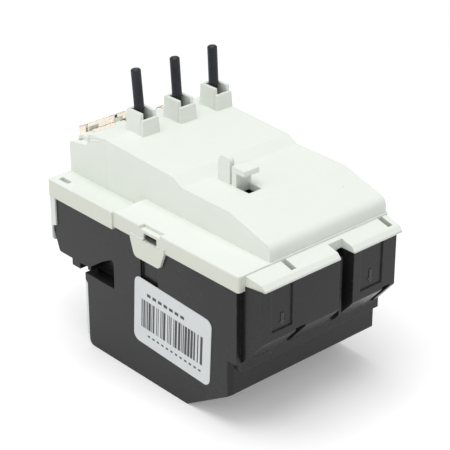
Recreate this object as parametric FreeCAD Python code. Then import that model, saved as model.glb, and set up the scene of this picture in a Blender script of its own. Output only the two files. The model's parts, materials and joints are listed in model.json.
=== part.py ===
"""Three-pole plug-on thermal overload relay, modelled as an assembly of its real pieces.

Millimetres. The relay stands on its load-terminal end. +Z points up along the line pins, -Y is the
operator's side, +Y is the mounting side, and +X is the operator's right.
"""
import FreeCAD, Part
import math
import os
from FreeCAD import Vector as V

# ---------------------------------------------------------------- driving dimensions
# base housing
body_width = 54.0
wall = 2.0
front_face_y = -38.4
lower_front_y = -25.2
lower_rear_y = 35.0
rear_face_y = 37.2
block_face_y = 44.4
seam_z = 43.1
front_seam_z = 42.4
overhang_z = 25.2
floor_z = 3.0
ledge_z = 18.3
bevel_top_z = 29.3
toe_y = 17.5
toe_z = 10.8
corner_ledge_z = 21.2
foot_step_z = 20.0
front_lip_z = 31.2
notch_rear_y = -12.9
notch_top_z = 31.8
channel_bottom_z = 28.0

# rear blocks
groove_x0 = -8.0
groove_x1 = -2.9
block_top_z = 44.4
sunk_panel_z = 31.8
sunk_panel_depth = 0.4

# top cover
flange_top_z = 47.7
front_flange_lip = 1.0
rear_flange_lip = 0.5
flange_step_y = -11.8
flange_front_y = -40.6
flange_rear_y = 38.4
cover_wall = 2.0
side_skin = 1.3
raised_front_y = -36.9
raised_rear_y = 37.8
plateau_z = 58.3
rear_step = 2.0
rear_edge_z = 52.6
step_y = 0.0
slope_y = 22.0
pad_z = 56.6
front_rise = 1.3
fold_y = -28.6
dip_depth = 2.9

# line pins and their shrouds
pin_pitch = 13.8
pin_y = -28.2
pin_r = 1.45
pin_neck_r = 1.1
pin_foot_reach = 0.4
pin_tip_z = 77.4
pin_leans_deg = (6.0, 4.5, 3.0)
shroud_width = 5.6
shroud_depth = 7.2
shroud_wall = 1.0
shroud_top_z = 65.0
shroud_low_z = 63.0

# hanging hook and its window
hook_x0 = -0.6
hook_x1 = 4.8
hook_front_y = 10.9
hook_rear_y = 15.8
hook_window_x0 = 0.2
hook_window_y0 = 12.7
hook_window_y1 = 17.7
hook_overhang = 4.0
hook_height = 5.6
rib_x0 = 3.3
rib_y0 = 5.6
rib_y1 = 10.2
rib_height = 7.4

# poles in the base
partition = 1.5
side_room_width = 3.5
chamber_front_y = -6.5
partition_top_z = 39.5
bimetal_thickness = 1.2
bimetal_width = 10.0
bimetal_y = 13.0
bimetal_top_z = 42.2
bar_run_z = 15.4
bar_thickness = 1.6
strap_z = 43.8
strap_width = 4.0
load_bar_gap = 0.5
heater_turns = 5
heater_pitch = 3.4
heater_strip = 0.8
heater_height = 2.2

# load terminals
terminal_screw_z = 9.6
terminal_head_r = 3.7
terminal_shank_r = 2.0
wire_bore_r = 4.0
cage_depth = 12.6
cage_wall = 1.2
cage_front_wall = 2.4
cage_rear_wall = 1.4
cage_bottom_z = 4.8
cage_top_z = 14.4
wire_y = -13.6

# operator panel and its controls
panel_face_y = -40.6
panel_recess_y = -38.6
panel_thickness = 1.5
panel_bottom_z = 28.0
recess_bottom_z = 39.0
recess_top_z = 53.2
dial_z = 46.4
dial_r = 6.3
dial_thickness = 1.9
dial_shaft_r = 2.0
reset_size = 7.4
stop_r = 3.4
stop_collar_lip = 0.4
button_z = 43.6
selector_z = 50.5
selector_r = 2.2
selector_shaft_r = 1.4
lip_overhang = 0.2
reset_travel = 2.5
stop_travel = 2.0
stem_r = 1.2
stem_length = 7.2
collar_thickness = 0.8
spring_r = 1.9
spring_wire_r = 0.22
spring_room = 4.6
spring_turns = 4
spring_steps = 9
aux_pitch = 11.5
aux_z = 33.4
aux_head_r = 3.1
aux_shank_r = 1.5
aux_clamp_half = 3.2
aux_wire_r = 1.8
aux_wire_y = -33.3

# clear cover
hinge_y = -39.4
hinge_z = 55.9
barrel_r = 2.3
hinge_pin_r = 0.8
clear_bottom_z = 39.4
clear_thickness = 1.3
grip_x0 = 1.6
grip_height = 3.4

# trip mechanism
bar_height = 1.4
bar_half = 1.5
bar_post_r = 1.2
return_post_r = 0.9
upright_pin_r = 0.8
compensator_pin_length = 13.0
lever_pin_length = 12.0
flag_leg_gap = 0.175
flag_leg_width = 1.2
snap_foot_x = 8.9
snap_foot_y = 7.2
snap_bow_x = 4.5
snap_bow_y = 6.0
snap_tip_x = 1.1
snap_tip_y = 4.4
strip_reach = 17.0
comp_hub_r = 1.7
comp_hub_height = 8.0
lever_thickness = 1.2
strip_half = 0.5
nose_y = 13.0
lever_low_z = 33.0
lever_high_z = 37.0
crank_arm = 10.1
arm_half = 1.4
contact_half = 1.6
contact_z = 39.0
contact_r = 1.1
contact_height = 0.7
blade_thickness = 0.4
blade_top_z = 40.4
open_gap = 1.0
spring_leaf = 0.4
spring_leaf_z = 30.0
spring_leaf_width = 3.0
finger_y = -30.8
trip_travel = 2.0
return_travel = 1.0
trip_bar_y = 20.7
return_bar_y = 3.2
comp_y = -10.0
trip_y = -16.0

# sticker
label_length = 31.4
label_height = 20.4
label_y = 11.6
label_z = 20.7
label_tilt_deg = 3.0
label_thickness = 0.15
label_corner_r = 2.2

# clearances
play = 0.3
running = 0.06
pin_clearance = 0.25
screw_clearance = 0.7

# ---------------------------------------------------------------- derived places
half = body_width / 2
inner = half - wall
cut_end_y = block_face_y + 15.6

block_right_x = half - 3.2
block_end_x = block_right_x + 1.4
block_left_x = -half + 2.5

rear_flat_z = plateau_z - rear_step
raised_x0 = -half + 0.1
raised_x1 = half - 11.0
shoulder_x1 = half - 7.3
front_top_z = flange_top_z - 0.2
dip_z = front_top_z - dip_depth
latch_y0 = -4.3
latch_y1 = 9.8
latch_window_y0 = 1.1
latch_window_y1 = 6.4
latch_window_z1 = flange_top_z - 1.7
dip_floor_z = flange_top_z - 0.9
latch_drop = 5.2
catch_top_z = latch_window_z1 - play

last_pin_x = raised_x0 + 0.1 + shroud_width / 2
pin_xs = [last_pin_x + pin_pitch * i for i in (2, 1, 0)]
pin_neck_z = shroud_top_z + 0.7

chamber_half = (2 * inner - side_room_width - 3 * partition) / 6
first_pole_x = inner - side_room_width - partition - chamber_half
pole_pitch = 2 * chamber_half + partition
pole_xs = [first_pole_x - pole_pitch * i for i in range(3)]
bar_z = partition_top_z + play

cage_half = chamber_half - 1.6
load_bar_half = cage_half - cage_wall - load_bar_gap
cage_front_y = lower_front_y + 3.0
cage_rear_y = cage_front_y + cage_depth
load_tail_y = cage_front_y + 3.6

recess_x0 = raised_x0 + 2.3
recess_x1 = raised_x1 - play
control_gap = (recess_x1 - recess_x0 - 2 * stop_r - reset_size - 2 * dial_r) / 4
stop_x = recess_x0 + control_gap + stop_r
reset_x = stop_x + stop_r + control_gap + reset_size / 2
dial_x = recess_x1 - control_gap - dial_r
selector_x = reset_x
aux_xs = [aux_pitch * (i - 1.5) for i in range(4)]
button_face_y = -(block_face_y + lip_overhang)
collar_y = panel_recess_y + panel_thickness + play
spring_start_y = collar_y + collar_thickness
spring_seat_y = spring_start_y + spring_room
pocket_depth = 4.5

knuckle_width = 3.2
third = (recess_x1 - recess_x0) / 3
knuckle_spans = [
    (recess_x1 - knuckle_width, recess_x1 + 0.5),
    (recess_x1 - third - knuckle_width / 2, recess_x1 - third + knuckle_width / 2),
    (recess_x0 + third - knuckle_width / 2, recess_x0 + third + knuckle_width / 2),
    (recess_x0 - 0.5, recess_x0 + knuckle_width),
]
hinge_pin_x0 = recess_x0 - 1.9
hinge_pin_length = recess_x1 - recess_x0 + 3.4

lever_pin_x = inner - 6.5
comp_x = inner - 2.4
trip_x = inner - 7.5
bar_x0 = -inner + 3.0
bar_x1 = lever_pin_x + 1.9
contact_x = trip_x - crank_arm
contact_pitch = 4.2
flag_window_x0 = stop_x - 0.8
flag_window_x1 = stop_x + 0.8
flag_window_z0 = 49.8
flag_window_z1 = 51.8
flag_leg_x = stop_x - stop_r - stop_collar_lip - flag_leg_gap - flag_leg_width
flag_end_x = trip_x - 5.9
flag_link_z = bar_z - 1.7


# ---------------------------------------------------------------- solid helpers
def block(x0, x1, y0, y1, z0, z1):
    return Part.makeBox(x1 - x0, y1 - y0, z1 - z0, V(x0, y0, z0))


def rod(point, axis, radius, length):
    return Part.makeCylinder(radius, length, V(*point), V(*axis))


def outline(corners, place):
    """A closed wire through the corners; a corner (a, b, r) is rounded with radius r."""
    points = []
    count = len(corners)
    for i, corner in enumerate(corners):
        here = V(corner[0], corner[1], 0)
        if len(corner) < 3:
            points.append((here, None, here))
            continue
        before = V(corners[i - 1][0], corners[i - 1][1], 0)
        after = V(corners[(i + 1) % count][0], corners[(i + 1) % count][1], 0)
        to_before = (before - here).normalize()
        to_after = (after - here).normalize()
        half_turn = to_before.getAngle(to_after) / 2
        reach = corner[2] / math.tan(half_turn)
        middle = (to_before + to_after).normalize()
        centre = here + middle * (corner[2] / math.sin(half_turn))
        points.append((here + to_before * reach, centre - middle * corner[2], here + to_after * reach))
    edges = []
    for i, (start, mid, end) in enumerate(points):
        if mid is not None:
            edges.append(Part.Arc(place(start), place(mid), place(end)).toShape())
        following = points[(i + 1) % count][0]
        if end.distanceToPoint(following) > 1e-6:
            edges.append(Part.LineSegment(place(end), place(following)).toShape())
    return Part.Wire(edges)


def prism_x(corners, x0, x1):
    """A side profile in Y and Z, run from x0 to x1."""
    wire = outline(corners, lambda p: V(x0, p.x, p.y))
    return Part.Face(wire).extrude(V(x1 - x0, 0, 0))


def prism_y(corners, y0, y1):
    """A front profile in X and Z, run from y0 to y1."""
    wire = outline(corners, lambda p: V(p.x, y0, p.y))
    return Part.Face(wire).extrude(V(0, y1 - y0, 0))


def prism_z(corners, z0, z1):
    """A plan in X and Y, run from z0 to z1."""
    wire = outline(corners, lambda p: V(p.x, p.y, z0))
    return Part.Face(wire).extrude(V(0, 0, z1 - z0))


def join(solids):
    return solids[0].multiFuse(solids[1:]).removeSplitter()


def save(name, shape):
    solids = shape.Solids
    whole = solids[0] if len(solids) == 1 else Part.makeCompound(solids)
    whole.exportStep("parts/" + name + ".step")


# ---------------------------------------------------------------- base housing
def base_side_profile():
    """The base from the side: terminal foot, rear bevel, and the overhang at the front."""
    return [
        (lower_front_y, 0, 2.0),
        (toe_y, 0),
        (lower_rear_y, toe_z, 0.8),
        (lower_rear_y, ledge_z),
        (rear_face_y, ledge_z + 0.1),
        (rear_face_y, seam_z),
        (flange_step_y, seam_z),
        (flange_step_y, front_seam_z),
        (front_face_y, front_seam_z),
        (front_face_y, front_lip_z + 2.2),
        (front_face_y - 1.6, front_lip_z + 1.4, 0.6),
        (front_face_y - 1.6, front_lip_z, 0.6),
        (front_face_y + 0.6, overhang_z, 0.8),
        (lower_front_y - 0.9, overhang_z),
        (lower_front_y - 0.9, foot_step_z + 0.6, 0.8),
        (lower_front_y, foot_step_z),
    ]


def rear_block(x0, x1, outer_is_right):
    """One of the two blocks on the rear, with its sloping underside and chamfered outer side."""
    solid = prism_x(
        [
            (lower_rear_y - 2.0, ledge_z - 2.3),
            (lower_rear_y, ledge_z),
            (block_face_y, bevel_top_z, 0.8),
            (block_face_y, block_top_z),
            (flange_rear_y, block_top_z),
            (flange_rear_y, seam_z),
            (rear_face_y - 2.0, seam_z),
        ],
        x0,
        x1,
    )
    if outer_is_right:
        side = prism_z(
            [(x1 + 0.1, rear_face_y), (x1 + 9, rear_face_y), (x1 + 9, cut_end_y), (x1 - 1.6, cut_end_y)],
            0,
            seam_z + 9,
        )
        groove_side = None
    else:
        side = prism_z(
            [(x0 - 9, block_face_y - 2.5), (x0, block_face_y - 2.5), (x0 + 1.0, cut_end_y),
             (x0 - 9, cut_end_y)],
            0,
            seam_z + 9,
        )
        groove_side = prism_z(
            [(x1 + 1, block_face_y - 1.6), (x1, block_face_y - 1.6), (x1 - 1.6, cut_end_y),
             (x1 + 1, cut_end_y)],
            0,
            seam_z + 9,
        )
    solid = solid.cut(side)
    if groove_side is not None:
        solid = solid.cut(groove_side)
    return solid


def panel_recess(x0, x1):
    """A shallow sunk panel on a rear block."""
    return block(x0, x1, block_face_y - sunk_panel_depth, block_face_y + 1, sunk_panel_z, block_top_z + 1)


def bevel_notch(x0, x1):
    """The square hole through the sloping underside of a rear block."""
    inner_y = block_face_y - 6.4
    outer_y = block_face_y + 1
    return prism_x(
        [(inner_y, ledge_z - 6.3), (outer_y, ledge_z + 1.7), (outer_y, ledge_z + 11.7),
         (inner_y, ledge_z + 11.7)],
        x0,
        x1,
    )


def cage_room(x):
    """The room for one terminal cage, its screw's pocket, wire entry and load-bar slot."""
    room_half = cage_half + 0.8
    room = block(x - room_half, x + room_half, cage_front_y - 0.6, cage_rear_y + 1.1, floor_z,
                 foot_step_z + 3.5)
    pocket_half = terminal_head_r + screw_clearance
    pocket = block(x - pocket_half, x + pocket_half, lower_front_y - 2, cage_front_y,
                   terminal_screw_z - pocket_half, terminal_screw_z + pocket_half)
    entry = rod((x, wire_y, -1), (0, 0, 1), wire_bore_r, floor_z + 2)
    slot_half = load_bar_half + 2 * play
    slot = block(x - slot_half, x + slot_half, cage_rear_y, chamber_front_y + 1,
                 bar_run_z - play, bar_run_z + bar_thickness + play)
    return [room, pocket, entry, slot]


def pole_chamber(x):
    return prism_x(
        [
            (chamber_front_y, floor_z),
            (toe_y - 1.2, floor_z),
            (lower_rear_y - wall, toe_z + 1.6),
            (lower_rear_y - wall, seam_z + 1),
            (chamber_front_y, seam_z + 1),
        ],
        x - chamber_half,
        x + chamber_half,
    )


def base_housing():
    body = prism_x(base_side_profile(), -half, half)
    corner = prism_x(
        [(lower_rear_y, ledge_z - 3), (rear_face_y + 1, ledge_z - 3), (rear_face_y + 1, corner_ledge_z),
         (lower_rear_y, corner_ledge_z)],
        block_end_x,
        half + 1,
    )
    upright = prism_z(
        [(half - 1.3, lower_rear_y + 0.01), (half, lower_rear_y - 1.3), (half + 1, lower_rear_y - 1.3),
         (half + 1, lower_rear_y + 1), (half - 1.3, lower_rear_y + 1)],
        -1,
        corner_ledge_z,
    )
    far_corner = prism_z(
        [(-half - 1, lower_rear_y - 1), (-half, lower_rear_y - 1), (-half + 1.0, rear_face_y + 1),
         (-half - 1, rear_face_y + 1)],
        -1,
        seam_z + 1,
    )
    body = body.cut(corner).cut(upright).cut(far_corner)
    body = body.multiFuse([
        rear_block(groove_x1, block_end_x, True),
        rear_block(block_left_x, groove_x0, False),
    ])
    rib = block(groove_x0 + 1.8, groove_x0 + 2.7, rear_face_y - 0.5, block_face_y - 2.2, overhang_z + 0.8,
                seam_z)
    lug = block(half - 3, half, front_face_y + 6.4, front_face_y + 10.0, overhang_z - 2.0, overhang_z + 1)
    catch_y0 = latch_window_y0 + 0.4
    catch_y1 = latch_window_y1 - 0.4
    catch = prism_y(
        [(half - 1, seam_z + 0.8), (half + 0.25, seam_z + 1.3), (half + 0.25, seam_z + 2.1),
         (half - 1, catch_top_z)],
        catch_y0,
        catch_y1,
    )
    catch_root = block(half - 1.8, half - 0.9, catch_y0, catch_y1, seam_z - 3.1, catch_top_z)
    catches = [catch, catch_root]
    catches += [piece.mirror(V(0, 0, 0), V(1, 0, 0)) for piece in catches]
    body = body.multiFuse([rib, lug] + catches)

    front_room = block(-inner, inner, front_face_y + wall, chamber_front_y - 1.5, overhang_z + wall,
                       seam_z + 1)
    side_room = block(inner - side_room_width, inner, trip_y - 4.0, lower_rear_y - wall, overhang_z + wall,
                      seam_z + 1)
    bar_room = block(-inner, inner, chamber_front_y - 2, lower_rear_y - wall, partition_top_z, seam_z + 1)
    panel_gap = block(recess_x0 - 0.4, raised_x1 + 0.3, front_face_y - 3, front_face_y + wall + 1,
                      recess_bottom_z - 0.6, seam_z + 1)
    pocket_wall = block(half - pocket_depth - 1.4, half, lower_front_y - 0.5, notch_rear_y + 1.0,
                        overhang_z, notch_top_z + 0.8)
    front_room = front_room.cut(pocket_wall).cut(pocket_wall.mirror(V(0, 0, 0), V(1, 0, 0)))
    side_room = side_room.cut(pocket_wall)
    cuts = [front_room, side_room, bar_room, panel_gap]
    cuts += [panel_recess(block_right_x - 9.6, block_right_x - 2.3),
             panel_recess(block_left_x + 5.3, block_left_x + 13.7)]
    cuts += [bevel_notch(block_right_x - 14.5, block_right_x - 10.9),
             bevel_notch(block_left_x + 1.9, block_left_x + 4.9)]
    for x in pole_xs:
        cuts += cage_room(x)
        cuts.append(pole_chamber(x))
    for x in aux_xs:
        cuts.append(rod((x, aux_wire_y, overhang_z - 1), (0, 0, 1), aux_wire_r, wall + 2))
    screw_room = aux_head_r + play
    cuts.append(block(aux_xs[0] - screw_room, aux_xs[-1] + screw_room, front_face_y - 3,
                      front_face_y + wall + 1,
                      aux_z - screw_room, aux_z + screw_room))
    channel = block(half - 0.8, half + 1, latch_y0 + 3.1, latch_y1 - 3.7, channel_bottom_z, seam_z + 1)
    cuts += [channel, channel.mirror(V(0, 0, 0), V(1, 0, 0))]
    notch_low_z = overhang_z - 2.2
    notch = [(lower_front_y - 1.5, overhang_z + 0.1), (lower_front_y + 0.9, overhang_z + 0.1),
             (notch_rear_y - 5.3, notch_top_z - 2.3), (notch_rear_y - 1.0, notch_top_z, 0.8),
             (notch_rear_y, notch_top_z - 0.4), (notch_rear_y, notch_low_z),
             (lower_front_y - 1.5, notch_low_z)]
    side_notch = prism_x(notch, half - pocket_depth, half + 1)
    cuts += [side_notch, side_notch.mirror(V(0, 0, 0), V(1, 0, 0))]
    cuts.append(block(block_end_x - 0.05, block_end_x + 0.35, rear_face_y - 0.3, rear_face_y + 1,
                      corner_ledge_z, seam_z + 1))
    body = body.cut(Part.makeCompound(cuts))

    posts = [rod((comp_x, comp_y, overhang_z + 1), (0, 0, 1), 2.0, 5.0)]
    posts.append(rod((trip_x, trip_y, overhang_z + 1), (0, 0, 1), 2.4, 5.9))
    for x in pole_xs:
        posts.append(block(x - 3.0, x + 3.0, bimetal_y - 3.0, bimetal_y + 3.0, floor_z - 1, bar_run_z))
    for x in (reset_x, stop_x):
        seat = block(x - 2.6, x + 2.6, spring_seat_y, spring_seat_y + 1.4, overhang_z + 1, button_z + 2.6)
        stem_gap = stem_r + play
        posts.append(seat.cut(block(x - stem_gap, x + stem_gap, spring_seat_y - 1, spring_seat_y + 2,
                                    button_z - stem_gap, button_z + 4)))
    body = body.multiFuse(posts)
    pins = [upright_pin(comp_x, comp_y, compensator_pin_length),
            upright_pin(trip_x, trip_y, lever_pin_length)]
    return body.cut(Part.makeCompound(pins))


# ---------------------------------------------------------------- top cover
def raised_profile(inset):
    """The raised part from the side: plateau, short steep step, flat and sloping rear."""
    return [
        (raised_front_y + inset, flange_top_z - 1),
        (raised_front_y + inset, plateau_z + 0.5 - inset, 0.5),
        (fold_y, plateau_z + front_rise - inset),
        (step_y - 0.4, plateau_z - inset, 1.2),
        (step_y + 3.4, rear_flat_z + 0.1 - inset, 1.6),
        (slope_y, rear_flat_z - inset),
        (raised_rear_y - inset, rear_edge_z - 0.9 - inset, max(2.6 - inset, 0.6)),
        (raised_rear_y - inset, flange_top_z - 1),
    ]


def shroud(x):
    """A U-shaped collar round one line pin, lower on its rear side."""
    y0 = pin_y - 3.0
    y1 = y0 + shroud_depth
    outer = prism_x(
        [(y0, plateau_z - 1), (y1, plateau_z - 1), (y1, shroud_low_z), (y1 - shroud_wall, shroud_low_z),
         (y1 - shroud_wall, shroud_top_z), (y0, shroud_top_z, 1.0)],
        x - shroud_width / 2,
        x + shroud_width / 2,
    )
    hollow = block(x - shroud_width / 2 + shroud_wall, x + shroud_width / 2 - shroud_wall,
                   y0 + shroud_wall, y1 - shroud_wall, plateau_z + front_rise + 0.1, shroud_top_z + 1)
    return outer.cut(hollow)


def latch_tongue():
    """The snap tongue hanging from the side flange."""
    profile = [
        (latch_y0, seam_z + 1.2), (latch_y0, seam_z - 0.2), (latch_y0 + 1.7, seam_z - latch_drop, 1.6),
        (latch_y1 - 2.0, seam_z - latch_drop, 1.6), (latch_y1, seam_z - 0.2), (latch_y1, seam_z + 1.2),
    ]
    return prism_x(profile, half + 0.02, half + rear_flange_lip + 0.4)


def flange_dip():
    """The sunk part of the front flange: it falls towards the raised part and runs out at the front."""
    edge_x = half + front_flange_lip
    sunk = prism_y(
        [(raised_x1, dip_z), (edge_x, front_top_z), (edge_x, flange_top_z), (raised_x1, flange_top_z)],
        fold_y,
        flange_step_y + 1,
    )
    low = V(raised_x1, fold_y, dip_z)
    high = V(raised_x1, fold_y, front_top_z)
    side = V(edge_x, fold_y, front_top_z)
    front = V(shoulder_x1, flange_front_y, front_top_z)
    corners = [(low, side, high), (low, high, front), (low, front, side), (high, side, front)]
    faces = [Part.Face(Part.makePolygon([a, b, c, a])) for a, b, c in corners]
    return sunk.fuse(Part.Solid(Part.Shell(faces)))


def top_cover():
    front_flange = prism_z(
        [(-half - front_flange_lip, flange_front_y, 0.6), (half + front_flange_lip, flange_front_y, 0.6),
         (half + front_flange_lip, flange_step_y), (-half - front_flange_lip, flange_step_y)],
        front_seam_z,
        front_top_z,
    )
    rear_flange = prism_z(
        [(-half - rear_flange_lip, flange_step_y), (half + rear_flange_lip, flange_step_y),
         (half + rear_flange_lip, flange_rear_y, 0.8), (-half - rear_flange_lip, flange_rear_y, 0.8)],
        seam_z,
        flange_top_z,
    )
    lip = prism_x(
        [(flange_rear_y - 1, block_top_z), (block_face_y + lip_overhang, block_top_z),
         (block_face_y + lip_overhang, block_top_z + 0.5),
         (block_face_y - 1.0, block_top_z + 1.7), (flange_rear_y - 1, flange_top_z - 0.1)],
        block_left_x - 1.9,
        block_end_x,
    )
    lip_end = prism_z(
        [(block_end_x + 0.1, rear_face_y), (block_right_x + 9, rear_face_y), (block_right_x + 9, cut_end_y),
         (block_right_x - 2.2, cut_end_y)],
        block_top_z - 1,
        flange_top_z + 1,
    )
    lip_far_end = prism_z(
        [(block_left_x - 9, block_face_y - 1.0), (block_left_x - 1.9, block_face_y - 1.0),
         (block_left_x - 0.4, cut_end_y), (block_left_x - 9, cut_end_y)],
        block_top_z - 1,
        flange_top_z + 1,
    )
    lip = lip.cut(lip_end).cut(lip_far_end)
    raised = prism_x(raised_profile(0), raised_x0, raised_x1)
    shell_top = plateau_z + front_rise
    cheek = prism_x(
        [(flange_front_y, front_seam_z), (flange_front_y, pad_z, 0.5), (raised_front_y + 2.0, pad_z),
         (raised_front_y + 2.3, pad_z + 1.3), (fold_y, shell_top), (fold_y, front_seam_z)],
        raised_x1 - 0.5,
        shoulder_x1,
    )
    cheek = cheek.common(prism_z(
        [(raised_x1 - 1, flange_front_y - 1), (shoulder_x1, flange_front_y - 1),
         (shoulder_x1, flange_front_y), (raised_x1, fold_y), (raised_x1 - 1, fold_y)],
        front_seam_z - 1,
        shell_top + 1,
    ))
    far_cheek = prism_x(
        [(flange_front_y, flange_top_z - 1), (flange_front_y, pad_z, 0.5), (raised_front_y + 1, pad_z),
         (raised_front_y + 1, flange_top_z - 1)],
        raised_x0,
        recess_x0 - play,
    )
    front_flange = front_flange.cut(flange_dip())
    shell = join([front_flange, rear_flange, lip, raised, cheek, far_cheek])

    cavity = prism_x(
        [
            (raised_front_y + 1.6, front_seam_z - 1),
            (raised_front_y + 1.6, plateau_z + 0.4 - cover_wall),
            (fold_y, plateau_z + front_rise - cover_wall),
            (step_y - 1.0, plateau_z - cover_wall),
            (step_y + 2.6, rear_flat_z - cover_wall),
            (slope_y - 0.4, rear_flat_z - cover_wall),
            (raised_rear_y - cover_wall, rear_edge_z - 1.2 - cover_wall),
            (raised_rear_y - cover_wall, front_seam_z - 1),
        ],
        raised_x0 + side_skin,
        raised_x1 - cover_wall + 0.2,
    )
    flange_cavity = block(-inner - 0.2, inner + 0.2, raised_front_y + 1.6, rear_face_y - wall,
                          front_seam_z - 1,
                          flange_top_z - cover_wall)
    flange_cavity = flange_cavity.cut(prism_y(
        [(raised_x1 - 0.9, flange_top_z), (raised_x1 - 0.9, dip_z - cover_wall),
         (raised_x1, dip_z - cover_wall),
         (half + front_flange_lip, front_top_z - cover_wall), (half + front_flange_lip, flange_top_z)],
        flange_front_y,
        flange_step_y + cover_wall,
    ))
    front_window = block(recess_x0, recess_x1, flange_front_y - 1, raised_front_y + 1.7,
                         front_seam_z - 1, recess_top_z + 0.2)
    front_relief = block(recess_x0, recess_x1, flange_front_y - 1, raised_front_y, recess_top_z - 1,
                         pad_z + 3)
    lip_notch = prism_z(
        [(groove_x0, cut_end_y), (groove_x0, flange_rear_y + 1.4), (groove_x1, flange_rear_y + 1.4),
         (groove_x1, cut_end_y)],
        block_top_z - 1,
        flange_top_z + 1,
    )
    slot_y0 = flange_rear_y + 0.1
    slot_y1 = flange_rear_y + 4.1
    small_slots = [
        block(block_right_x - 12.6, block_right_x - 10.9, slot_y0, slot_y1, block_top_z - 1,
              flange_top_z + 1),
        block(block_left_x - 0.2, block_left_x + 1.5, slot_y0, slot_y1, block_top_z - 1, flange_top_z + 1),
        block(half - 2.8, half - 1.2, flange_front_y + 2.2, flange_front_y + 6.4, flange_top_z - 1.6,
              flange_top_z + 1),
    ]
    cuts = [cavity, flange_cavity, front_window, front_relief, lip_notch] + small_slots
    shell = shell.cut(Part.makeCompound(cuts))

    tongue = latch_tongue()
    shell = shell.multiFuse([tongue, tongue.mirror(V(0, 0, 0), V(1, 0, 0))] + [shroud(x) for x in pin_xs])
    window = block(half - 3, half + 2, latch_window_y0, latch_window_y1, seam_z + 0.7, latch_window_z1)
    window = window.fuse(block(half - 3, half - 0.8, latch_window_y0, latch_window_y1, seam_z - 1,
                               latch_window_z1))
    dip = block(half - 1.2, half + 2, latch_y0 + 3.8, latch_y1 - 2.0, dip_floor_z,
                flange_top_z + 1)
    windows = [window, dip]
    windows += [piece.mirror(V(0, 0, 0), V(1, 0, 0)) for piece in windows]
    for x, lean_deg in zip(pin_xs, pin_leans_deg):
        axis = pin_axis(lean_deg)
        reach = shroud_top_z - plateau_z + 1.3
        start = V(x, pin_y, plateau_z) - axis * reach
        windows.append(Part.makeCylinder(pin_r + pin_clearance, reach * 2, start, axis))
    windows.append(block(hook_window_x0, hook_x1, hook_window_y0, hook_window_y1,
                         rear_flat_z - cover_wall - 1, rear_flat_z + 1))
    shell = shell.cut(Part.makeCompound(windows))

    rib = prism_x(
        [(rib_y0, rear_flat_z - 1), (rib_y0, rear_flat_z + rib_height, 1.9),
         (rib_y1, rear_flat_z + rib_height, 0.9),
         (rib_y1, rear_flat_z - 1)],
        rib_x0,
        hook_x1,
    )
    shell = shell.multiFuse([rib] + [knuckle(x0, x1) for x0, x1 in knuckle_spans])
    return shell.cut(Part.makeCompound([cover_hinge_pin(), hanging_hook()])).removeSplitter()


def hanging_hook():
    """The catch that hangs the relay on the contactor: let into the cover, and bent over its window."""
    root_z = rear_flat_z - cover_wall
    overhang = rear_flat_z + hook_overhang
    top = rear_flat_z + hook_height
    return prism_x(
        [(hook_front_y, root_z), (hook_front_y, top), (hook_rear_y, top, 0.4), (hook_rear_y, overhang),
         (hook_window_y0, overhang), (hook_window_y0, root_z)],
        hook_x0,
        hook_x1,
    )


def knuckle(x0, x1):
    """A hinge knuckle standing off the front edge of the raised part."""
    profile = [
        (raised_front_y + 0.6, hinge_z - 1.9),
        (hinge_y + 0.5, hinge_z - 1.9, 0.4),
        (hinge_y - 1.8, hinge_z - 1.8, 1.6),
        (hinge_y - 1.8, hinge_z + 1.9, 1.8),
        (raised_front_y + 0.6, hinge_z + 1.9),
    ]
    return prism_x(profile, x0, x1)


# ---------------------------------------------------------------- clear cover
def clear_spans():
    """The stretches of the hinge line that the clear cover's own barrel fills."""
    spans = []
    for right, left in zip(knuckle_spans, knuckle_spans[1:]):
        spans.append((left[1] + play, right[0] - play))
    return spans


def clear_cover():
    x0 = recess_x0 + play
    x1 = recess_x1 - play
    front = hinge_y - barrel_r - 0.7
    back = front + clear_thickness
    plate = prism_x(
        [(front, clear_bottom_z), (front, hinge_z, 0.4), (front + 0.6, hinge_z + 1.4, 0.4),
         (back + 0.2, hinge_z + 1.4), (back, hinge_z - 0.4), (back, clear_bottom_z)],
        x0,
        x1,
    )
    grip = prism_x(
        [(front, hinge_z), (front, hinge_z + grip_height, 0.4), (back, hinge_z + grip_height, 0.4),
         (back, hinge_z)],
        grip_x0,
        x1,
    )
    plate = plate.fuse(grip)
    for span in knuckle_spans:
        plate = plate.cut(block(span[0] - play, span[1] + play, front - 1, hinge_y + 5, hinge_z - 2.4,
                                hinge_z + 9))
    ends = [
        block(x0, x0 + 1.0, back - 0.2, panel_recess_y - play, clear_bottom_z, hinge_z - 3.4),
        block(x1 - 1.0, x1, back - 0.2, panel_recess_y - play, clear_bottom_z, hinge_z - 3.4),
    ]
    barrels = []
    for span0, span1 in clear_spans():
        barrels.append(rod((span0, hinge_y, hinge_z), (1, 0, 0), barrel_r, span1 - span0))
        barrels.append(block(span0, span1, front + 0.3, hinge_y, hinge_z - 0.8, hinge_z + 0.8))
    cover = plate.multiFuse(ends + barrels)
    slots = []
    for x, button_half in ((reset_x, reset_size / 2), (stop_x, stop_r)):
        reach = button_half + 0.7
        slots.append(block(x - reach, x + reach, front - 1, back + 1, clear_bottom_z - 1, button_z + reach))
    bore = rod((x0 - 1, hinge_y, hinge_z), (1, 0, 0), hinge_pin_r + running, x1 - x0 + 2)
    return cover.cut(Part.makeCompound(slots)).cut(bore).removeSplitter()


def cover_hinge_pin():
    return rod((hinge_pin_x0, hinge_y, hinge_z), (1, 0, 0), hinge_pin_r, hinge_pin_length)


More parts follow.
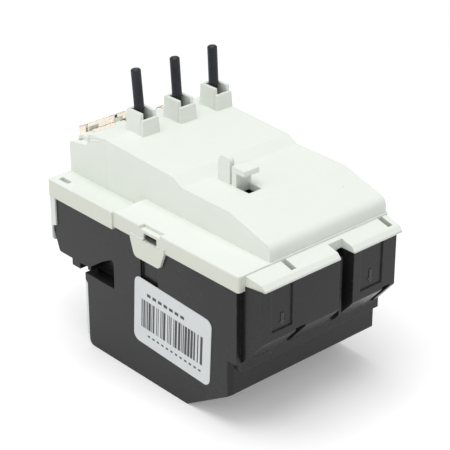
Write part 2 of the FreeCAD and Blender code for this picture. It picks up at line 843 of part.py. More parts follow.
# ---------------------------------------------------------------- operator panel and controls
def operator_panel():
    lower = prism_y(
        [(-half - 0.5, panel_bottom_z, 1.2), (half + 0.5, panel_bottom_z, 1.2),
         (half + 0.5, front_seam_z - 0.05),
         (raised_x1 + 0.2, front_seam_z - 0.05), (raised_x1 + 0.2, recess_bottom_z),
         (recess_x0 - 0.3, recess_bottom_z),
         (recess_x0 - 0.3, front_seam_z - 0.05), (-half - 0.5, front_seam_z - 0.05)],
        panel_face_y,
        front_face_y,
    )
    foot = prism_x(
        [(front_face_y - 1.65, panel_bottom_z - 1), (front_face_y + 1, panel_bottom_z - 1),
         (front_face_y + 1, front_lip_z + 2.25), (front_face_y - 0.01, front_lip_z + 2.25),
         (front_face_y - 1.65, front_lip_z + 1.7)],
        -half - 1,
        half + 1,
    )
    upper = block(recess_x0 + 0.1, recess_x1 - 0.1, panel_recess_y, panel_recess_y + panel_thickness,
                  recess_bottom_z - 0.5, recess_top_z)
    panel = join([lower.cut(foot), upper])
    sleeve = block(reset_x - reset_size / 2 - 1.3, reset_x + reset_size / 2 + 1.3, panel_recess_y - 0.9,
                   panel_recess_y, button_z - reset_size / 2 - 0.5, button_z + reset_size / 2 + 0.7)
    panel = panel.fuse(sleeve)
    holes = [
        block(reset_x - reset_size / 2 - play, reset_x + reset_size / 2 + play, panel_face_y - 1,
              panel_recess_y + 5,
              button_z - reset_size / 2 - play, button_z + reset_size / 2 + play),
        rod((stop_x, panel_face_y - 1, button_z), (0, 1, 0), stop_r + play, 9),
        rod((dial_x, panel_face_y - 1, dial_z), (0, 1, 0), dial_shaft_r + running, 9),
        rod((selector_x, panel_face_y - 1, selector_z), (0, 1, 0), selector_shaft_r + running, 9),
        block(flag_window_x0, flag_window_x1, panel_face_y - 1, panel_recess_y + 5, flag_window_z0,
              flag_window_z1),
    ]
    for x in aux_xs:
        holes.append(rod((x, panel_face_y - 1, aux_z), (0, 1, 0), aux_head_r + play, 9))
    return panel.cut(Part.makeCompound(holes)).removeSplitter()


def current_dial():
    face_y = panel_recess_y - dial_thickness
    knob = rod((dial_x, face_y, dial_z), (0, 1, 0), dial_r, dial_thickness - play)
    edge = [e for e in knob.Edges if e.BoundBox.YMax < face_y + 0.01 and len(e.Vertexes) == 1]
    knob = knob.makeChamfer(0.4, edge)
    slot = block(dial_x - 0.6, dial_x + 0.6, face_y - 1, face_y + 1.0, dial_z - 3.0, dial_z + 3.0)
    pointer = prism_y([(dial_x - 0.9, dial_z + 3.6), (dial_x + 0.9, dial_z + 3.6), (dial_x, dial_z + 5.4)],
                      face_y - 1, face_y + 0.5)
    shaft = rod((dial_x, face_y + 1.0, dial_z), (0, 1, 0), dial_shaft_r, panel_thickness + 2.9)
    cam = rod((dial_x + 0.9, face_y + 3.9, dial_z), (0, 1, 0), 2.7, 1.8)
    return join([knob, shaft, cam]).cut(slot).cut(pointer)


def button_stem(x):
    return rod((x, panel_recess_y, button_z), (0, 1, 0), stem_r, stem_length)


def reset_button():
    r = reset_size / 2
    square = [(reset_x - r, button_z - r, 1.0), (reset_x + r, button_z - r, 1.0),
              (reset_x + r, button_z + r, 1.0),
              (reset_x - r, button_z + r, 1.0)]
    cap = prism_y(square, button_face_y, panel_recess_y + panel_thickness)
    front = [e for e in cap.Edges if e.BoundBox.YMax < button_face_y + 0.01]
    cap = cap.makeChamfer(0.4, front)
    collar = block(reset_x - r - 0.7, reset_x + r + 0.7, collar_y, collar_y + collar_thickness,
                   button_z - r, button_z + r)
    neck = block(reset_x - r, reset_x + r, collar_y - play - 0.1, collar_y + 0.1, button_z - r, button_z + r)
    return join([cap, neck, collar, button_stem(reset_x)])


def stop_button():
    face_y = button_face_y + 0.6
    cap = rod((stop_x, face_y, button_z), (0, 1, 0), stop_r, collar_y + play - face_y)
    front = [e for e in cap.Edges if e.BoundBox.YMax < face_y + 0.01 and len(e.Vertexes) == 1]
    cap = cap.makeChamfer(0.5, front)
    collar = rod((stop_x, collar_y, button_z), (0, 1, 0), stop_r + stop_collar_lip, collar_thickness)
    return join([cap, collar, button_stem(stop_x)])


def button_spring(x):
    """A short compression spring round a button's stem, from its collar to its seat."""
    steps = spring_turns * spring_steps
    rise = (spring_seat_y - spring_start_y - 2 * spring_wire_r - 0.1) / steps
    points = []
    for i in range(steps + 1):
        angle = 2 * math.pi * i / spring_steps
        y = spring_start_y + spring_wire_r + 0.05 + rise * i
        points.append(V(x + spring_r * math.cos(angle), y, button_z + spring_r * math.sin(angle)))
    path = Part.makePolygon(points)
    corners = []
    for i in range(7):
        around = math.pi * i / 3
        corners.append(V(spring_r + spring_wire_r * math.cos(around), spring_wire_r * math.sin(around), 0))
    section = Part.makePolygon(corners)
    section.translate(V(x, points[0].y, button_z))
    return path.makePipeShell([section], True, False, 1)


def mode_selector():
    head = rod((selector_x, panel_recess_y - 1.2, selector_z), (0, 1, 0), selector_r, 1.2 - play)
    grip = block(selector_x - 0.5, selector_x + 0.5, panel_recess_y - 1.9, panel_recess_y - 1.0,
                 selector_z - selector_r + 0.2, selector_z + selector_r - 0.2)
    shaft = rod((selector_x, panel_recess_y - 0.8, selector_z), (0, 1, 0), selector_shaft_r,
                panel_thickness + 1.4)
    return join([head, grip, shaft])


def trip_flag():
    """The indicator tab behind its window, on the link that the trip lever moves."""
    y0 = front_face_y + wall + 0.1
    y1 = y0 + 0.8
    tab = block(flag_window_x1 + 0.1, flag_window_x1 + 2.3, y0, y1, flag_window_z0 - 0.4,
                flag_window_z1 + 0.4)
    top = block(flag_leg_x, flag_window_x1 + 1.0, y0, y1, flag_window_z0 - 0.4 - 1.2, flag_window_z0 - 0.4)
    leg = block(flag_leg_x, flag_leg_x + flag_leg_width, y0, y1, flag_link_z, flag_window_z0 - 0.4)
    link = block(flag_leg_x, flag_end_x, y0, y1, flag_link_z, flag_link_z + 1.0)
    drop = block(flag_end_x - 1.2, flag_end_x, y0, finger_y + 0.8, flag_link_z - 1.0, flag_link_z + 1.0)
    return join([tab, top, leg, link, drop])


# ---------------------------------------------------------------- pole parts
def pin_axis(lean_deg):
    """The way a line pin points; it leans towards the operator."""
    lean = math.radians(lean_deg)
    return V(0, -math.sin(lean), math.cos(lean))


def line_bar(x, pole_x, lean_deg):
    """A line pin, its neck inside the shroud, and the strap that leads to the pole's heater."""
    axis = pin_axis(lean_deg)
    root = V(x, pin_y, plateau_z) - axis * ((plateau_z - strap_z - bar_thickness / 2) / axis.z)
    shoulder = V(x, pin_y, plateau_z) + axis * ((pin_neck_z - plateau_z) / axis.z)
    top = (pin_tip_z - plateau_z) / axis.z - pin_r * math.tan(math.radians(lean_deg))
    neck = Part.makeCylinder(pin_neck_r, (shoulder - root).Length, root, axis)
    pin = Part.makeCylinder(pin_r, top - (pin_neck_z - plateau_z) / axis.z, shoulder, axis)
    tip = [e for e in pin.Edges if e.BoundBox.ZMin > pin_tip_z - 1.5 and len(e.Vertexes) == 1]
    pin = pin.makeChamfer(0.35, tip)
    left = max(x - strap_width / 2, raised_x0 + side_skin + play)
    right = left + strap_width
    foot_y = pin_y - pin_foot_reach
    bend_y = pin_y + 7.0
    chamber_y = chamber_front_y + 1.5
    end_y = bimetal_y - bimetal_width / 2 - 2.2
    plan = [
        (left, foot_y), (right, foot_y), (right, bend_y),
        (pole_x + strap_width / 2, chamber_y), (pole_x + strap_width / 2, end_y),
        (pole_x - strap_width / 2, end_y), (pole_x - strap_width / 2, chamber_y), (left, bend_y),
    ]
    strap = prism_z(plan, strap_z, strap_z + bar_thickness)
    return pin.fuse(neck).fuse(strap)


def heater(pole_x):
    """Turns of flat resistance strip round the bimetal, with the lead that comes down to them."""
    half_x = bimetal_thickness / 2 + 1.2
    half_y = bimetal_width / 2 + 0.8
    outer_x = half_x + heater_strip
    outer_y = half_y + heater_strip
    base_z = bar_run_z + bar_thickness
    first_z = base_z + heater_pitch
    turns = []
    for i in range(heater_turns):
        z = first_z + heater_pitch * i
        turn = block(pole_x - outer_x, pole_x + outer_x, bimetal_y - outer_y, bimetal_y + outer_y, z,
                     z + heater_height)
        hole = block(pole_x - half_x, pole_x + half_x, bimetal_y - half_y, bimetal_y + half_y,
                     z - 1, z + heater_height + 1)
        turns.append(turn.cut(hole))
    lead = block(pole_x - 0.5, pole_x + strap_width / 2, bimetal_y - outer_y - 0.8,
                 bimetal_y - outer_y + 0.1,
                 first_z, strap_z)
    tail = block(pole_x - 1.4, pole_x + 1.4, bimetal_y + outer_y - 0.1, bimetal_y + outer_y + 0.7,
                 base_z, first_z + heater_pitch * (heater_turns - 1))
    return join(turns + [lead, tail])


def bimetal_strip(pole_x):
    t = bimetal_thickness / 2
    w = bimetal_width / 2
    strip = block(pole_x - t, pole_x + t, bimetal_y - w, bimetal_y + w, bar_run_z + bar_thickness,
                  bimetal_top_z)
    foot = block(pole_x - 3.4, pole_x + t, bimetal_y - w, bimetal_y + w, bar_run_z + bar_thickness,
                 bar_run_z + bar_thickness + 1.2)
    return strip.fuse(foot).removeSplitter()


def load_bar(pole_x):
    """From under the bimetal forward and down into the terminal cage."""
    end_y = bimetal_y + bimetal_width / 2 + 3.2
    tail_rear_y = load_tail_y + bar_thickness
    tail_z = cage_bottom_z + 0.2
    profile = [
        (end_y, bar_run_z), (end_y, bar_run_z + bar_thickness),
        (load_tail_y, bar_run_z + bar_thickness, 1.8),
        (load_tail_y, tail_z), (tail_rear_y, tail_z), (tail_rear_y, bar_run_z, 0.4),
    ]
    return prism_x(profile, pole_x - load_bar_half, pole_x + load_bar_half)


def terminal_cage(pole_x):
    shell = block(pole_x - cage_half, pole_x + cage_half, cage_front_y, cage_rear_y, cage_bottom_z,
                  cage_top_z)
    room = block(pole_x - cage_half + cage_wall, pole_x + cage_half - cage_wall,
                 cage_front_y + cage_front_wall, cage_rear_y - cage_rear_wall,
                 cage_bottom_z - 1, cage_top_z + 1)
    thread = rod((pole_x, cage_front_y - 1, terminal_screw_z), (0, 1, 0), terminal_shank_r, 5)
    return shell.cut(room).cut(thread)


def slotted_screw(x, z, head, shank, slot):
    """A screw along +Y: head and shank as (start, end, radius), slot as (half width, depth)."""
    body = rod((x, head[0], z), (0, 1, 0), head[2], head[1] - head[0])
    body = body.fuse(rod((x, shank[0], z), (0, 1, 0), shank[2], shank[1] - shank[0]))
    cut = block(x - slot[0], x + slot[0], head[0] - 1, head[0] + slot[1], z - head[2] - 1, z + head[2] + 1)
    return body.cut(cut).Solids[0]


def terminal_screws():
    head = (lower_front_y + 0.1, cage_front_y, terminal_head_r)
    shank = (cage_front_y - 0.1, load_tail_y, terminal_shank_r)
    return Part.makeCompound([slotted_screw(x, terminal_screw_z, head, shank, (0.6, 1.4)) for x in pole_xs])


def terminal_plate():
    """The pale plate on the front of the terminal foot, open over each screw."""
    edge_x = half - 0.2
    plate = prism_y(
        [(-edge_x, 2.2, 1.0), (edge_x, 2.2, 1.0), (edge_x, foot_step_z - 0.1, 0.6),
         (-edge_x, foot_step_z - 0.1, 0.6)],
        lower_front_y - 1.2,
        lower_front_y,
    )
    hole_r = terminal_head_r + screw_clearance
    holes = [rod((x, lower_front_y - 2, terminal_screw_z), (0, 1, 0), hole_r, 5) for x in pole_xs]
    return plate.cut(Part.makeCompound(holes))


# ---------------------------------------------------------------- auxiliary terminals
def aux_terminal_clamps():
    clamps = []
    y0 = front_face_y + wall + 0.6
    top_z = aux_z + aux_clamp_half + 0.2
    for x in aux_xs:
        plate = block(x - aux_clamp_half, x + aux_clamp_half, y0, y0 + 1.0, aux_z - aux_clamp_half - 0.2,
                      top_z)
        fold = block(x - aux_clamp_half, x + aux_clamp_half, y0, y0 + 3.4, top_z - 1.0, top_z)
        clamps.append(plate.fuse(fold).cut(rod((x, y0 - 1, aux_z), (0, 1, 0), aux_shank_r, 6)).Solids[0])
    return Part.makeCompound(clamps)


def aux_terminal_screws():
    head_y = front_face_y - 1.2
    head = (head_y, front_face_y + wall + 0.6, aux_head_r)
    shank = (head_y + 1, head_y + 7.6, aux_shank_r)
    return Part.makeCompound([slotted_screw(x, aux_z, head, shank, (0.45, 1.2)) for x in aux_xs])


# ---------------------------------------------------------------- trip mechanism
def trip_bar():
    """The bar that the bimetal ends push, with one finger per pole and a pivot post."""
    top_z = bar_z + bar_height
    bar = block(bar_x0, bar_x1, trip_bar_y - bar_half, trip_bar_y + bar_half, bar_z, top_z)
    pieces = [bar, rod((lever_pin_x, trip_bar_y, bar_z), (0, 0, 1), bar_post_r, bar_height + 1.9)]
    for x in pole_xs:
        side = x + bimetal_thickness / 2 + play
        pieces.append(block(side, side + 1.4, bimetal_y + 0.5, trip_bar_y, bar_z, top_z))
    return join(pieces)


def return_bar():
    """The bar on the strips' other side, which a phase failure holds back."""
    top_z = bar_z + bar_height
    bar = block(bar_x0, bar_x1, return_bar_y - bar_half, return_bar_y + bar_half, bar_z, top_z)
    pieces = [bar, rod((lever_pin_x, return_bar_y, bar_z), (0, 0, 1), return_post_r, bar_height + 1.9)]
    for x in pole_xs:
        side = x - bimetal_thickness / 2 - play - return_travel
        pieces.append(block(side - 1.4, side, return_bar_y, bimetal_y - 0.5, bar_z, top_z))
    return join(pieces)


def differential_lever():
    """The lever across both bars, with the nose that bears on the compensating strip."""
    z0 = bar_z + bar_height + play
    z1 = z0 + lever_thickness
    left = lever_pin_x - 2.2
    right = lever_pin_x + 2.2
    nose_x = comp_x - strip_half - play
    plan = [
        (left, return_bar_y - 2.2, 1.0), (right, return_bar_y - 2.2, 1.0), (right, nose_y - 2.0),
        (nose_x, nose_y - 0.6, 0.5), (nose_x, nose_y + 0.6, 0.5), (right, nose_y + 2.0),
        (right, trip_bar_y + 2.2, 1.0), (left, trip_bar_y + 2.2, 1.0),
    ]
    bore = rod((lever_pin_x, trip_bar_y, z0 - 1), (0, 0, 1), bar_post_r + running, 5)
    slot_half = return_post_r + play
    slot = block(lever_pin_x - slot_half, lever_pin_x + slot_half, return_bar_y - 1.3, return_bar_y + 1.4,
                 z0 - 1, z1 + 1)
    return prism_z(plan, z0, z1).cut(bore).cut(slot)


def compensating_lever():
    """The ambient-compensating strip on its upright pin."""
    x0 = comp_x - strip_half
    x1 = comp_x + strip_half
    top_z = bar_z + bar_height + play + lever_thickness
    strip = block(x0, x1, comp_y - strip_reach, comp_y + 1.0, lever_low_z + 1.0, lever_high_z + 1.0)
    rise = block(x0, x1, comp_y, nose_y + 1.4, lever_high_z - 1.0, top_z)
    hub = rod((comp_x, comp_y, overhang_z + 6 + play), (0, 0, 1), comp_hub_r, comp_hub_height)
    bore = rod((comp_x, comp_y, overhang_z), (0, 0, 1), upright_pin_r + running, 30)
    return join([strip, rise, hub]).cut(bore)


def upright_pin(x, y, length):
    return rod((x, y, overhang_z + wall), (0, 0, 1), upright_pin_r, length)


def trip_lever():
    """The crank: one arm against the compensating strip, one with the contacts, one that moves the flag."""
    z0 = lever_low_z
    z1 = lever_high_z
    tip_x = comp_x - strip_half - play
    tip_y = trip_y - crank_arm
    end_x = contact_x - 1.8
    elbow_y = trip_y - 12.0
    finger_x = flag_end_x + play
    strip_arm = [(trip_x - 1.6, trip_y), (trip_x + 1.6, trip_y + 1.0), (tip_x, tip_y + 0.7),
                 (tip_x, tip_y - 0.7, 0.5),
                 (tip_x - 2.0, tip_y - 0.7, 0.5)]
    contact_arm = [(trip_x, trip_y - arm_half), (trip_x, trip_y + arm_half), (end_x, trip_y + arm_half),
                   (end_x, trip_y - arm_half)]
    flag_arm = [(trip_x - 1.4, trip_y), (finger_x, elbow_y), (finger_x, finger_y),
                (finger_x + 1.2, finger_y),
                (finger_x + 1.4, elbow_y), (trip_x + 1.4, trip_y)]
    arms = [prism_z(strip_arm, z0, z1), prism_z(contact_arm, z0, z1), prism_z(flag_arm, z1 + 0.2, z1 + 1.4)]
    hub = rod((trip_x, trip_y, z0 - 0.6), (0, 0, 1), 2.6, 6.0)
    return join(arms + [hub]).cut(rod((trip_x, trip_y, z0 - 2), (0, 0, 1), upright_pin_r + running, 9))


def contact_strip(x, y, side, thickness, low_z):
    """An upright strip whose near face lies at y, reaching away from it on the side given."""
    far = y + thickness * side
    return block(x - contact_half, x + contact_half, min(y, far), max(y, far), low_z, blade_top_z)


def moving_contact(x, side):
    """A contact blade on the trip lever's long arm; side is -1 for the one that opens."""
    y = trip_y + arm_half * side
    blade = contact_strip(x, y, side, blade_thickness, lever_low_z - 0.8)
    tip = rod((x, y + blade_thickness * side, contact_z), (0, side, 0), contact_r, contact_height)
    return blade.fuse(tip)


def fixed_contact(x, side, gap):
    y = trip_y + side * (arm_half + blade_thickness + contact_height + gap)
    tip = rod((x, y, contact_z), (0, side, 0), contact_r, contact_height)
    blade = contact_strip(x, y + side * contact_height, side, blade_thickness + 0.2, overhang_z + wall)
    return tip.fuse(blade)


def snap_spring():
    """A bowed leaf that holds the trip lever to either side."""
    ends = [(trip_x - snap_foot_x, trip_y - snap_foot_y), (trip_x - snap_bow_x, trip_y - snap_bow_y),
            (trip_x - snap_tip_x, trip_y - snap_tip_y)]
    near = [V(x, y, spring_leaf_z) for x, y in ends]
    far = [V(x, y + spring_leaf, spring_leaf_z) for x, y in ends]
    bows = [Part.Arc(*near).toShape(), Part.Arc(*far).toShape()]
    closes = [Part.LineSegment(near[i], far[i]).toShape() for i in (0, 2)]
    wire = Part.Wire(Part.__sortEdges__(bows + closes))
    leaf = Part.Face(wire).extrude(V(0, 0, spring_leaf_width))
    anchor = block(trip_x - 9.9, trip_x - 8.5, trip_y - 8.0, trip_y - 6.4,
                   overhang_z + wall, spring_leaf_z + spring_leaf_width)
    return leaf.fuse(anchor)


# ---------------------------------------------------------------- sticker
def side_label():
    y = label_length / 2
    z = label_height / 2
    sticker = prism_x(
        [(-y, -z, label_corner_r), (y, -z, label_corner_r), (y, z, label_corner_r), (-y, z, label_corner_r)],
        half,
        half + label_thickness,
    )
    sticker.rotate(V(0, 0, 0), V(1, 0, 0), -label_tilt_deg)
    sticker.translate(V(0, label_y, label_z))
    return sticker


# ---------------------------------------------------------------- export
def build():
    os.makedirs("parts", exist_ok=True)
    save("base_housing", base_housing())
    save("top_cover", top_cover())
    save("hanging_hook", hanging_hook())
    save("clear_cover", clear_cover())
    save("cover_hinge_pin", cover_hinge_pin())
    save("operator_panel", operator_panel())
    save("current_dial", current_dial())
    save("reset_button", reset_button())
    save("reset_spring", button_spring(reset_x))
    save("stop_button", stop_button())
    save("stop_spring", button_spring(stop_x))
    save("mode_selector", mode_selector())
    save("trip_flag", trip_flag())
    for number, (x, pole_x, lean_deg) in enumerate(zip(pin_xs, pole_xs, pin_leans_deg), start=1):
        save("line_bar_%d" % number, line_bar(x, pole_x, lean_deg))
        save("heater_%d" % number, heater(pole_x))
        save("bimetal_strip_%d" % number, bimetal_strip(pole_x))
        save("load_bar_%d" % number, load_bar(pole_x))
        save("terminal_cage_%d" % number, terminal_cage(pole_x))
    save("terminal_screws", terminal_screws())
    save("terminal_plate", terminal_plate())
    save("aux_terminal_clamps", aux_terminal_clamps())
    save("aux_terminal_screws", aux_terminal_screws())
    save("trip_bar", trip_bar())
    save("return_bar", return_bar())
    save("differential_lever", differential_lever())
    save("compensating_lever", compensating_lever())
    save("compensator_pin", upright_pin(comp_x, comp_y, compensator_pin_length))
    save("trip_lever", trip_lever())
    save("trip_lever_pin", upright_pin(trip_x, trip_y, lever_pin_length))
    save("nc_moving_contact", moving_contact(contact_x, -1))
    save("nc_fixed_contact", fixed_contact(contact_x, -1, play))
    save("no_moving_contact", moving_contact(contact_x + contact_pitch, 1))
    save("no_fixed_contact", fixed_contact(contact_x + contact_pitch, 1, open_gap))
    save("snap_spring", snap_spring())
    save("side_label", side_label())


build()
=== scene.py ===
"""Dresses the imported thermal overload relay: moulded plastics, plated metal, clear cover, sticker and marks.

Metres, in the frame's own axes: +Z up along the line pins, -Y the operator's side, +X the sticker's side.
"""
import json
import math
import random

import bpy
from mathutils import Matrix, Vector


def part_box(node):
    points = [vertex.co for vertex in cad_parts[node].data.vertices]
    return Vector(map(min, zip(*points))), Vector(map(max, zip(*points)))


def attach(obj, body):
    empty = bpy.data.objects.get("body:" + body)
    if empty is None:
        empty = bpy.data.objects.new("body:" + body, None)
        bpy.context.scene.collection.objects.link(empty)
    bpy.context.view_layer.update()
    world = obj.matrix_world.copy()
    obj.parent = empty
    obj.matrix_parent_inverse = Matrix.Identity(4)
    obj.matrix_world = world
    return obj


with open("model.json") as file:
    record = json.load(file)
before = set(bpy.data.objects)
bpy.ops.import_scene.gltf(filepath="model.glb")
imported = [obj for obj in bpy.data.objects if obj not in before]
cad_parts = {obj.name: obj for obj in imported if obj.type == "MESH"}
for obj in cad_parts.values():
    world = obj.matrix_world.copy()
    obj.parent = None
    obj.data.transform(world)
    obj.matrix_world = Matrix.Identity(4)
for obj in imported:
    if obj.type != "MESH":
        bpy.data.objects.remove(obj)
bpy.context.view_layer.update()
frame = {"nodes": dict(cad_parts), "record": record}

MM = 0.001


# ---------------------------------------------------------------- sizes read from the frame
def span(node):
    """The lowest and highest corner of a CAD node, as vectors."""
    low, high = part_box(node)
    return Vector(low), Vector(high)


housing_low, housing_high = span("base_housing")
sticker_low, sticker_high = span("side_label")
panel_low = span("operator_panel")[0]
dial_low, dial_high = span("current_dial")
pin_high = span("line_bar_1")[1]
clear_low, clear_high = span("clear_cover")
hinge_low, hinge_high = span("cover_hinge_pin")
flange_rise = 1.5 * MM
flange_top = housing_high.z + flange_rise


# ---------------------------------------------------------------- shared surface effects
def effect(name, inputs, outputs):
    """An empty shader node group with named sockets: (tree, its inputs' node, its outputs' node)."""
    tree = bpy.data.node_groups.new(name, "ShaderNodeTree")
    for label, kind, value in inputs:
        socket = tree.interface.new_socket(name=label, in_out="INPUT", socket_type=kind)
        socket.default_value = value
    for label, kind in outputs:
        tree.interface.new_socket(name=label, in_out="OUTPUT", socket_type=kind)
    return tree, tree.nodes.new("NodeGroupInput"), tree.nodes.new("NodeGroupOutput")


def wire(tree, source, target):
    """Links one node's output to another node's input."""
    tree.links.new(source, target)


def feed(tree, value, socket):
    """Sets an input to a plain number, or links it to a socket."""
    if isinstance(value, (int, float)):
        socket.default_value = value
    else:
        wire(tree, value, socket)


def calculate(tree, operation, a, b=None):
    """One Math node; a and b are sockets or plain numbers."""
    node = tree.nodes.new("ShaderNodeMath")
    node.operation = operation
    feed(tree, a, node.inputs[0])
    if b is not None:
        feed(tree, b, node.inputs[1])
    return node.outputs[0]


def noise(tree, position, scale, detail=2.0, roughness=0.5):
    """A noise about 0.5; scale is in waves per metre."""
    node = tree.nodes.new("ShaderNodeTexNoise")
    wire(tree, position, node.inputs["Vector"])
    feed(tree, scale, node.inputs["Scale"])
    node.inputs["Detail"].default_value = detail
    node.inputs["Roughness"].default_value = roughness
    return node.outputs["Fac"]


def remap(tree, value, low, high, new_low=0.0, new_high=1.0):
    """Stretches low..high to new_low..new_high, and holds the ends."""
    node = tree.nodes.new("ShaderNodeMapRange")
    for label, number in (("From Min", low), ("From Max", high), ("To Min", new_low), ("To Max", new_high)):
        node.inputs[label].default_value = number
    wire(tree, value, node.inputs["Value"])
    return node.outputs["Result"]


def moulded_grain():
    """The fine spark-eroded grain of a mould, as a height."""
    tree, start, end = effect(
        "moulded_grain",
        [("Position", "NodeSocketVector", (0, 0, 0)), ("Grains per metre", "NodeSocketFloat", 3500.0),
         ("Waviness", "NodeSocketFloat", 0.3)],
        [("Height", "NodeSocketFloat")],
    )
    position = start.outputs["Position"]
    grain = noise(tree, position, start.outputs["Grains per metre"], 3.0, 0.6)
    slow = noise(tree, position, 90.0, 1.0)
    wave = calculate(tree, "MULTIPLY", slow, start.outputs["Waviness"])
    wire(tree, calculate(tree, "ADD", grain, wave), end.inputs["Height"])
    return tree


def tone_drift():
    """Slow, faint unevenness of a moulding's colour: 0 to 1."""
    tree, start, end = effect(
        "tone_drift",
        [("Position", "NodeSocketVector", (0, 0, 0)), ("Patches per metre", "NodeSocketFloat", 60.0)],
        [("Mask", "NodeSocketFloat")],
    )
    patches = noise(tree, start.outputs["Position"], start.outputs["Patches per metre"], 4.0, 0.6)
    wire(tree, remap(tree, patches, 0.32, 0.68), end.inputs["Mask"])
    return tree


def handling_specks():
    """Scattered small specks and short scuffs from handling: 0 to 1."""
    tree, start, end = effect(
        "handling_specks",
        [("Position", "NodeSocketVector", (0, 0, 0)), ("Specks per metre", "NodeSocketFloat", 260.0),
         ("Speck size", "NodeSocketFloat", 0.07), ("Share", "NodeSocketFloat", 0.2)],
        [("Mask", "NodeSocketFloat")],
    )
    position = start.outputs["Position"]
    bent = tree.nodes.new("ShaderNodeVectorMath")
    bent.operation = "ADD"
    wobble = tree.nodes.new("ShaderNodeTexNoise")
    wobble.inputs["Scale"].default_value = 900.0
    wire(tree, position, wobble.inputs["Vector"])
    small = tree.nodes.new("ShaderNodeVectorMath")
    small.operation = "SCALE"
    small.inputs["Scale"].default_value = 1.2 * MM
    wire(tree, wobble.outputs["Color"], small.inputs[0])
    wire(tree, position, bent.inputs[0])
    wire(tree, small.outputs[0], bent.inputs[1])
    cells = tree.nodes.new("ShaderNodeTexVoronoi")
    wire(tree, bent.outputs[0], cells.inputs["Vector"])
    wire(tree, start.outputs["Specks per metre"], cells.inputs["Scale"])
    near = calculate(tree, "LESS_THAN", cells.outputs["Distance"], start.outputs["Speck size"])
    parts = tree.nodes.new("ShaderNodeSeparateColor")
    wire(tree, cells.outputs["Color"], parts.inputs["Color"])
    chosen = calculate(tree, "LESS_THAN", parts.outputs["Red"], start.outputs["Share"])
    faint = remap(tree, parts.outputs["Green"], 0.0, 1.0, 0.25, 1.0)
    both = calculate(tree, "MULTIPLY", near, chosen)
    wire(tree, calculate(tree, "MULTIPLY", both, faint), end.inputs["Mask"])
    return tree


def edge_rub_and_highlight():
    """Where an outer edge is worn and carries a painted highlight: 0 on flats, up to 1 along edges, broken up
    along their length.
    """
    tree, start, end = effect(
        "edge_rub_and_highlight",
        [("Position", "NodeSocketVector", (0, 0, 0)), ("Reach", "NodeSocketFloat", 0.3 * MM)],
        [("Mask", "NodeSocketFloat"), ("Normal", "NodeSocketVector")],
    )
    soft = tree.nodes.new("ShaderNodeBevel")
    soft.samples = 4
    wire(tree, start.outputs["Reach"], soft.inputs["Radius"])
    sharp = tree.nodes.new("ShaderNodeNewGeometry")
    facing = tree.nodes.new("ShaderNodeVectorMath")
    facing.operation = "DOT_PRODUCT"
    wire(tree, soft.outputs["Normal"], facing.inputs[0])
    wire(tree, sharp.outputs["Normal"], facing.inputs[1])
    still_flat = 0.995
    full_edge = 0.9
    bend = remap(tree, facing.outputs["Value"], still_flat, full_edge)
    broken = remap(tree, noise(tree, start.outputs["Position"], 420.0, 3.0, 0.7), 0.35, 0.7)
    wire(tree, calculate(tree, "MULTIPLY", bend, broken), end.inputs["Mask"])
    wire(tree, soft.outputs["Normal"], end.inputs["Normal"])
    return tree


def drawn_lines():
    """Fine lines along one axis, as a rolled or turned metal has: a height and a mask."""
    tree, start, end = effect(
        "drawn_lines",
        [("Position", "NodeSocketVector", (0, 0, 0)), ("Stretch", "NodeSocketVector", (1, 1, 1)),
         ("Lines per metre", "NodeSocketFloat", 2500.0)],
        [("Height", "NodeSocketFloat"), ("Mask", "NodeSocketFloat")],
    )
    drawn = tree.nodes.new("ShaderNodeVectorMath")
    drawn.operation = "MULTIPLY"
    wire(tree, start.outputs["Position"], drawn.inputs[0])
    wire(tree, start.outputs["Stretch"], drawn.inputs[1])
    lines = noise(tree, drawn.outputs[0], start.outputs["Lines per metre"], 3.0, 0.6)
    wire(tree, lines, end.inputs["Height"])
    wire(tree, remap(tree, lines, 0.35, 0.65), end.inputs["Mask"])
    return tree


GRAIN = moulded_grain()
DRIFT = tone_drift()
SPECKS = handling_specks()
RUB_AND_HIGHLIGHT = edge_rub_and_highlight()
LINES = drawn_lines()


# ---------------------------------------------------------------- finishes
def place_effect(tree, group, **values):
    """One copy of an effect in a material; a value is a number, a vector or a socket to link."""
    node = tree.nodes.new("ShaderNodeGroup")
    node.node_tree = group
    for label, value in values.items():
        socket = node.inputs[label.replace("_", " ")]
        if isinstance(value, bpy.types.NodeSocket):
            wire(tree, value, socket)
        else:
            socket.default_value = value
    return node


def blank(name):
    """A new material: (material, node tree, Principled node, object coordinates)."""
    material = bpy.data.materials.new(name)
    material.use_nodes = True
    tree = material.node_tree
    shader = tree.nodes["Principled BSDF"]
    position = tree.nodes.new("ShaderNodeTexCoord").outputs["Object"]
    return material, tree, shader, position


def blend_colour(tree, mask, first, second):
    """Mixes two colours by a mask; a colour is a tuple or a socket."""
    node = tree.nodes.new("ShaderNodeMix")
    node.data_type = "RGBA"
    wire(tree, mask, node.inputs["Factor"])
    for label, value in (("A", first), ("B", second)):
        socket = [s for s in node.inputs if s.name == label and s.type == "RGBA"][0]
        if isinstance(value, bpy.types.NodeSocket):
            wire(tree, value, socket)
        else:
            socket.default_value = (*value, 1.0)
    return [s for s in node.outputs if s.type == "RGBA"][0]


def raise_surface(tree, shader, height, distance, normal=None):
    """Feeds a height to the shader's normal through one Bump node."""
    bump = tree.nodes.new("ShaderNodeBump")
    bump.inputs["Strength"].default_value = 0.5
    bump.inputs["Distance"].default_value = distance
    wire(tree, height, bump.inputs["Height"])
    if normal is not None:
        wire(tree, normal, bump.inputs["Normal"])
    wire(tree, bump.outputs["Normal"], shader.inputs["Normal"])


